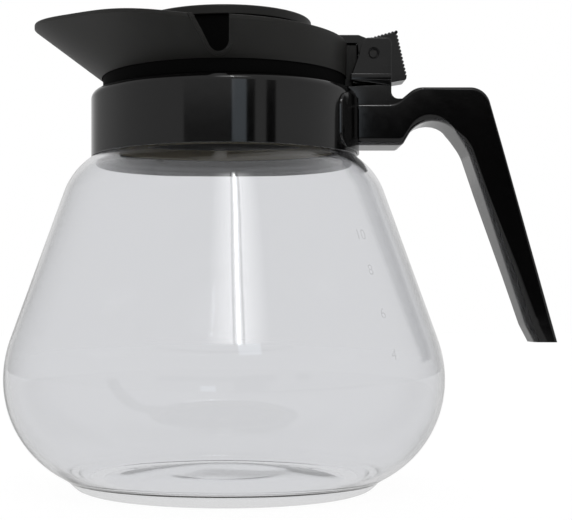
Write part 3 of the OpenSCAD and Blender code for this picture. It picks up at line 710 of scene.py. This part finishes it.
pin_half_w, tip_r, tip_half_w = 9.2, 1.4, 10
hinge_pin = cross_pin("hinge_pin_turned", hinge_x, hinge_z, pin_r, -pin_half_w, pin_half_w)
join(hinge_pin, cross_pin("pin_tips", hinge_x, hinge_z, tip_r, -tip_half_w, tip_half_w))
soften(hinge_pin, 0.15, 2)
hinge_pin.data.materials.append(finish("steel_darkened_for_shade", shade_darkened_steel))
polish(hinge_pin)
dress(hinge_pin, "hinge_pin", "jug")

# Pouring funnel.
# A satin black moulding pressed into the neck: a throat, a neck ring on the collar, and a
# thin flared wall whose rim is set over and drawn up into a spout, with a bordered notch each side.
# The neck ring and the key at the back are coloured near-black as painted shade.


def satin_black(plan):
    grain = plan.cloud(2600, 2)
    patches = plan.cloud(90, 2)
    return {
        "Base Color": plan.blend(patches, (0.015, 0.0148, 0.0135), (0.019, 0.0185, 0.017)),
        "Roughness": 0.42 + 0.12 * grain,
        "Specular IOR Level": 0.3,
        "Normal": plan.ripple(grain, 0.5, 0.00005),
    }


# Near-black matt colour: painted shade, for parts that sit in shade under or behind other parts.
def painted_shade_matt(plan):
    grain = plan.cloud(2600, 2)
    return {
        "Base Color": plan.blend(grain, (0.002, 0.002, 0.002), (0.003, 0.003, 0.003)),
        "Roughness": 0.7 + 0.1 * grain,
        "Specular IOR Level": 0.05,
    }


black_satin = finish("satin_black_moulding", satin_black)
shade_black_matt = finish("matt_painted_shade", painted_shade_matt)
funnel_sizes = {
    "foot radius": 0.0461,
    "rim radius": 0.0588,
    "rim shift": 0.0126,
    "spout pinch": 0.0053,
    "spout span": math.radians(80),
    "spout slope": math.radians(7.2),
    "wall foot height": 0.154125,
    "rim height": 0.166825,
    "rim edge": 0.0014,
    "wall": 0.002,
    "grow": 0.0,
}


def funnel_tree():
    """Bends rings of points into the funnel. Each point says where it lies: on the turned part by
    radius and height, or on the wall by how far along it and how far through it."""
    tree, plan, sizes = tree_for("funnel_wall", funnel_sizes)

    def mark(name):
        return plan.add("GeometryNodeInputNamedAttribute", {"data_type": "FLOAT"}, {"Name": name})

    angle, along, through, inset = mark("angle"), mark("along"), mark("through"), mark("inset")
    sine, cosine = angle.math("SINE", angle), angle.math("COSINE", angle)
    off = abs(angle - math.pi)
    span = sizes.of("spout span")
    wave = off.math("SINE", off * math.pi / span)
    grow = sizes.of("grow")
    rim_r = sizes.of("rim radius") - sizes.of("spout pinch") * wave * wave * (off < span) + grow
    low_r = sizes.of("foot radius") + grow
    shift = sizes.of("rim shift")
    run_x = rim_r * cosine - shift - low_r * cosine
    run_y = rim_r * sine - low_r * sine
    slope = sizes.of("spout slope")
    lift = (-rim_r * cosine | 0) * slope.math("TANGENT", slope)
    foot_z = sizes.of("wall foot height")
    rise = sizes.of("rim height") + lift - sizes.of("rim edge") - foot_z
    length = rise.math("SQRT", rise * rise + run_x * run_x + run_y * run_y)
    depth = (sizes.of("wall") + 2 * grow) * length / rise
    climb = along + mark("lift") / rise & 1
    edge = along - 1 | 0
    inwards = through * depth + inset * (1 + 2 * grow / sizes.of("rim edge"))
    on_wall, radius = mark("on_wall"), mark("radius")
    turned_part = 1 - on_wall
    place = plan.add("ShaderNodeCombineXYZ", None, {
        "X": on_wall * (low_r * cosine + run_x * climb - inwards * cosine)
        + turned_part * radius * cosine,
        "Y": on_wall * (low_r * sine + run_y * climb - inwards * sine)
        + turned_part * radius * sine,
        "Z": on_wall * (foot_z + rise * climb + edge * sizes.of("rim edge"))
        + turned_part * mark("height"),
    })
    bent = plan.add("GeometryNodeSetPosition", None, {"Geometry": sizes, "Position": place})
    end_tree(plan, bent, black_satin)
    return tree


def funnel_rings(outline, stations=216):
    """Rings of points for the tree, closed both ways, from an outline of marks."""
    mesh = bpy.data.meshes.new("funnel_rings")
    start = [(0, 0, 0)] * (len(outline) * stations)
    mesh.from_pydata(start, [], ring_faces(len(outline), stations, stations))
    names = ("on_wall", "radius", "height", "along", "lift", "through", "inset")
    values = {name: [p.get(name, 0.0) for p in outline] * stations for name in names}
    values["angle"] = [2 * math.pi * i / stations for i in range(stations) for _ in outline]
    for name, numbers in values.items():
        mesh.attributes.new(name, "FLOAT", "POINT").data.foreach_set("value", numbers)
    return mesh


def lathe_points(points):
    """Marks for points [radius, height] of the turned part."""
    return [{"radius": r / 1000, "height": z / 1000} for r, z in points]


ring_r, ring_in_r, ring_z, cone_z, seat_z = 45.6, 43.4, 149.325, 154.125, 154.925
throat_r, throat_out_r, throat_z, seat_r = 33.1, 35.5, 136.625, 37.7
wall_points = [
    *[{"on_wall": 1, "along": i / 10} for i in range(11)],
    {"on_wall": 1, "along": 1.75},
    {"on_wall": 1, "along": 1.92, "inset": 0.0001},
    {"on_wall": 1, "along": 2, "inset": 0.00035},
    {"on_wall": 1, "along": 2, "inset": 0.00115},
    {"on_wall": 1, "along": 1.92, "inset": 0.0014},
    {"on_wall": 1, "along": 1.75, "inset": 0.0015},
    *[{"on_wall": 1, "along": i / 10, "through": 1} for i in range(10, 1, -1)],
]
below = rounded([
    (throat_r, throat_z, 0.5), (throat_out_r, throat_z, 0.9), (throat_out_r, seat_z - 2.4, 0.5),
    (ring_in_r, seat_z - 2.4, 0.5), (ring_in_r, ring_z, 0.3), (ring_r, ring_z, 0.35),
    (ring_r, cone_z + 0.01, 0), (throat_r, seat_z, 0),
], 4)
bend = funnel_tree()
funnel = tidied(grown("spout_funnel_moulded", bend, funnel_sizes, funnel_rings([
    *lathe_points(below[:-1]),
    *wall_points,
    {"on_wall": 1, "lift": 0.0016, "through": 1},
    {"on_wall": 1, "lift": 0.0010, "through": 1, "inset": 0.00015},
    {"on_wall": 1, "lift": 0.0008, "through": 1, "inset": 0.0005},
    *lathe_points([
        (seat_r, seat_z), (throat_r + 0.5, seat_z),
        (throat_r + 0.15, seat_z - 0.15), (throat_r, seat_z - 0.5),
    ]),
])))
border_wall = tidied(grown("notch_border", bend, {**funnel_sizes, "grow": 0.0007}, funnel_rings(
    [*wall_points, {"on_wall": 1, "along": 0, "through": 1}])))

notch_x, notch_z, notch_top_z, notch_r, notch_slope = -1.9, 159.525, 172.225, 3.6, 32
border_w = 1.3
both_sides = ((-62, -throat_out_r), (throat_out_r, 62))


def notch_outline(grow):
    """The side notch: a round bottom, an upright edge and one that slants to the spout."""
    r = notch_r + grow
    bottom = arc((notch_x, notch_z), r, 180 + notch_slope, 360, 20)
    lean = (notch_top_z - bottom[0][1]) * math.tan(math.radians(notch_slope))
    return [(bottom[0][0] - lean, notch_top_z), *bottom, (notch_x + r, notch_top_z)]


border_corners = [v.co * 1000 for v in border_wall.data.vertices]
border_faces = [tuple(f.vertices) for f in border_wall.data.polygons]
borders = []
for span in both_sides:
    border = piece("border", border_corners, border_faces)
    join(border, side_plate("border_room", notch_outline(border_w), *span), "INTERSECT")
    borders.append(border)
bpy.data.objects.remove(border_wall)
key_half_w = 5.2
key = side_plate("funnel_key", [
    (44.5, 150.625), (48.25, 150.625), (48.25, 152.307),
    (50, 155.8), (50, 166.825), (45.45, 166.825),
], -key_half_w, key_half_w)
soften(key, 0.4)
for part in (*borders, key):
    join(funnel, part)
for span in both_sides:
    join(funnel, side_plate("notch", notch_outline(0), *span), "DIFFERENCE")
funnel.data.materials.clear()
funnel.data.materials.append(black_satin)
funnel.data.materials.append(shade_black_matt)

# The neck ring, in shade under the overhanging wall, and the key between the wall and the ears
# take the near-black matt colour: painted shade.
for face in funnel.data.polygons:
    r, z = face.center.xy.length * 1000, face.center.z * 1000
    on_ring = ring_r - 0.6 < r < ring_r + 0.45 and ring_z - 0.1 < z < cone_z + 0.1
    face.material_index = int(on_ring or face.center.x * 1000 > ring_r + 0.9)
polish(funnel, 30)
dress(funnel, "spout_funnel", "jug")

# Lid.
# A hollow cup with a soft ring under its flange closes the throat; its near-black matt colour is
# painted shade for the dark inside of the funnel. A dished satin cap with a drip hole is pressed on
# it, and two screws hold the cap to the lid arm through its bosses.
spigot_r, cap_r, cap_z, cap_top_z, dish_z, drip_r = 29.5, 32.9, 172.225, 175.725, 174.325, 4
arm_z, arm_top_z = 167.325, 170.425
boss_r, boss_z, boss_places = 2.8, arm_top_z + 0.1, (18.7, 26.7)

# The cup's near-black matt colour is painted shade.
coat(shade_black_matt, "lid_cup")
cap = turned("lid_cap_moulded", rounded([
    (drip_r, cap_z, 0.3), (spigot_r - 2, cap_z, 0), (spigot_r - 2, boss_z, 0.2),
    (spigot_r, boss_z, 0.2), (spigot_r, cap_z, 0), (cap_r, cap_z, 0.4),
    (cap_r, cap_top_z, 0.8), (cap_r - 2, cap_top_z, 0.5),
    (cap_r - 4, dish_z, 1.5), (drip_r, dish_z, 0.4),
], 6))
for x in boss_places:
    boss = turned("boss", [(0, boss_z), (boss_r, boss_z), (boss_r, cap_z + 1), (0, cap_z + 1)], 48)
    boss.data.transform(Matrix.Translation((x / 1000, 0, 0)))
    join(cap, boss)
cap.data.materials.append(black_satin)
polish(cap)
dress(cap, "lid_cap", "lid")

# Thumb lever.
# Lid arm, hinge barrel and thumb pad in one black gloss moulding that turns about the hinge pin.
# Round ribs across the top and the back of the pad give the thumb its grip.
barrel_r, lever_half_w, pin_play, rib_h = 5, 5.2, 0.06, 0.6
arm_end_x, arm_rise_x, arm_join_x = 15.9, 50.4, 50
pad_front, pad_peak, pad_low = (
    Vector(corner) for corner in ((54.4, 169.325), (64.7, 172.225), (68.5, 155.625)))
pad_heel, pad_toe = (68.3, 153.625), (62.6, 152.625)


def inwards(a, b):
    """From a side of the pad to the line that its ribs stand on."""
    along = (b - a).normalized()
    return Vector((along.y, -along.x)) * rib_h


top_in, back_in = inwards(pad_front, pad_peak), inwards(pad_peak, pad_low)
lever = side_plate("thumb_lever_moulded", rounded([
    (arm_end_x, arm_z, 0.8), (arm_end_x, arm_top_z, 0.8), (arm_rise_x, arm_top_z, 2),
    (*(pad_front + top_in), 0.6), (*(pad_peak + top_in + back_in), 0.8),
    (*(pad_low + back_in), 0), (*pad_low, 0.2), (*pad_heel, 0.8), (*pad_toe, 1.2),
    *[(x, z, 0) for x, z in arc((hinge_x, hinge_z), barrel_r, -60, -180)],
    (arm_join_x, arm_z, 0),
], 6), -lever_half_w, lever_half_w)
soften(lever, 0.5, 3, 45)
pin_room = cross_pin("pin_room", hinge_x, hinge_z, pin_r + pin_play, -beyond_y, beyond_y)
join(lever, pin_room, "DIFFERENCE")
lever.data.materials.append(black_gloss)
polish(lever)
dress(lever, "thumb_lever", "lid")

rib_sizes = {"rib pitch": 0.0013, "rib radius": 0.00062}
rib_reach = (lever_half_w - 0.45) / 1000


def rib_tree():
    """Round ribs across the pad, one each pitch along its line."""
    tree, plan, sizes = tree_for("pad_ribs", rib_sizes)
    line = plan.add("GeometryNodeMeshToCurve", None, {"Mesh": sizes})
    spots = plan.add("GeometryNodeResampleCurve", {"mode": "LENGTH"}, {
        "Curve": line, "Length": sizes.of("rib pitch")})
    across = plan.add("GeometryNodeCurvePrimitiveLine", {"mode": "POINTS"}, {
        "Start": (0, -rib_reach, 0), "End": (0, rib_reach, 0)})
    ring = plan.add("GeometryNodeCurvePrimitiveCircle", {"mode": "RADIUS"}, {
        "Resolution": 12, "Radius": sizes.of("rib radius")})
    bar = plan.add("GeometryNodeCurveToMesh", None, {
        "Curve": across, "Profile Curve": ring, "Fill Caps": True})
    ribs = plan.add("GeometryNodeInstanceOnPoints", None, {"Points": spots, "Instance": bar})
    end_tree(plan, ribs, black_gloss)
    return tree


for name, a, b, shift, near, far in (
    ("pad_ribs_top", pad_front, pad_peak, top_in, 0.9, 0.35),
    ("pad_ribs_back", pad_peak, pad_low, back_in, 0.9, 0.9),
):
    along = (b - a).normalized()
    line = bpy.data.meshes.new(name)
    ends = (a + shift + along * near, b + shift - along * far)
    line.from_pydata([(p.x / 1000, 0, p.y / 1000) for p in ends], [(0, 1)], [])
    ribs = tidied(grown(name, rib_tree(), rib_sizes, line))
    polish(ribs, 60, False)
    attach(ribs, "lid")

# Table, light and camera.
# A pale table in a white room that is bright behind the carafe and dim low down on the camera's
# side, where a tall window stands. The camera is set low, just above the middle of the bowl.
table_white = bpy.data.materials.new("pale_table")
table_white.use_nodes = True
plan = Plan(table_white.node_tree)
path = plan.add("ShaderNodeLightPath", None, None, "Is Camera Ray")
at = plan.add("ShaderNodeSeparateXYZ", None, {
    "Vector": plan.add("ShaderNodeTexCoord", None, None, "Object")})
near = at.of("Y").ease(-0.8, -0.15)
reach = (at.of("X") * at.of("X") + at.of("Y") * at.of("Y")).ease(0.004, 0.01)
seen = path | path.of("Is Transmission Ray") | (0.9 - 0.7 * reach) * path.of("Is Glossy Ray")
plan.add("ShaderNodeOutputMaterial", None, {"Surface": plan.add("ShaderNodeMixShader", None, {
    0: seen * 0.92,
    1: plan.add("ShaderNodeBsdfDiffuse", None, {"Color": plan.blend(
        near | 1 - at.of("X").ease(-0.02, 0.08), (0.04, 0.04, 0.04), (0.86, 0.86, 0.86))}),
    2: plan.add("ShaderNodeEmission", None, {
        "Color": (1, 1, 1, 1), "Strength": 0.74 + 0.31 * path}),
})})
table_half_w, table_near_y, table_far_y = 3000, -900, 3000
table = piece("table", [
    (-table_half_w, table_near_y, 0), (table_half_w, table_near_y, 0),
    (table_half_w, table_far_y, 0), (-table_half_w, table_far_y, 0),
], [(0, 1, 2, 3)])
table.data.materials.append(table_white)

room = bpy.data.worlds.new("white_room")
room.use_nodes = True
bpy.context.scene.world = room
plan = Plan(room.node_tree)
way = plan.add("ShaderNodeSeparateXYZ", None, {
    "Vector": plan.add("ShaderNodeTexCoord", None, None, "Generated")})
x, y, z = way.of("X"), way.of("Y"), way.of("Z")

# The camera's side of the room: bright walls left and right, and between them a wall that is
# pale above and dim below, and darkest where the handle's root mirrors it.
sides = abs(x + 0.06).ease(0.48, 0.5) * (abs(x - 0.63) > 0.055) * z.ease(-0.06, 0.1)
near_root = x.ease(0.08, 0.09)
over_edge = z - 0.14 - 0.012 * near_root - 0.023 * x.ease(0.13, 0.16)
wall = (over_edge / (0.03 - 0.022 * near_root)).ease(0, 1) | sides
dim = 0.02 + (0.47 - 0.35 * z.ease(0.07, 0.1)) * (1 - near_root + x.ease(0.3, 0.42) * (z < 0.1))
path = plan.add("ShaderNodeLightPath", None, None, "Is Camera Ray")
front = dim + (0.57 - dim) * wall | 0.62 * path.of("Is Transmission Ray")

# The tall window: soft panes with two bars, and a narrow bright gap in the middle.
window_turn, pane_turn, bar_turn, bar_half_turn, gap_turn = (
    math.radians(angle) for angle in (8.2, 19, 2.9, 0.7, 1))
turn = abs(x.math("ARCTAN2", x, -y) - window_turn)
pane = 1 - turn / pane_turn | 0
bars = abs(turn - bar_turn) > bar_half_turn
panes_and_gap = 3.4 * pane * bars + 10 * (turn < gap_turn)
window = panes_and_gap * z.ease(0.585, 0.62) * (1 - z.ease(0.79, 0.83))
front = front + window * (y < 0)

# The bright room behind the carafe, and a plain white for the camera itself.
back = 0.72 - 0.3 * abs(x).ease(0.3, 0.7)
level = front + (back - front) * y.ease(0.2, 0.8)
plan.add("ShaderNodeOutputWorld", None, {"Surface": plan.add("ShaderNodeBackground", None, {
    "Color": (1, 1, 1, 1), "Strength": level | path})})

near_lamp = bpy.data.lights.new("near_lamp", "AREA")
near_lamp.shape = "RECTANGLE"
near_lamp.size, near_lamp.size_y = 0.048, 0.042
near_lamp.energy = 0.0075
near_lamp.color = (0.8, 0.9, 1)
lamp_place, lamp_aim = Vector((0.05, -0.25, 0.167)), Vector((0.012, -0.05, 0.136))
stand = bpy.data.objects.new("near_lamp", near_lamp)
stand.location = lamp_place
stand.rotation_mode = "QUATERNION"
stand.rotation_quaternion = (lamp_place - lamp_aim).to_track_quat("Z", "Y")
bpy.context.scene.collection.objects.link(stand)

frame_w, shift_right, shift_up = 572, 62, 50
view = bpy.data.cameras.new("camera")
view.lens, view.sensor_width = 83.7, 36
stand = bpy.data.objects.new("camera", view)
stand.location = (0, -0.5033, 0.06735)
stand.rotation_euler = (math.radians(90), 0, 0)
view.shift_x, view.shift_y = shift_right / frame_w, shift_up / frame_w
bpy.context.scene.collection.objects.link(stand)
bpy.context.scene.camera = stand
bpy.context.scene.view_settings.view_transform = "Standard"
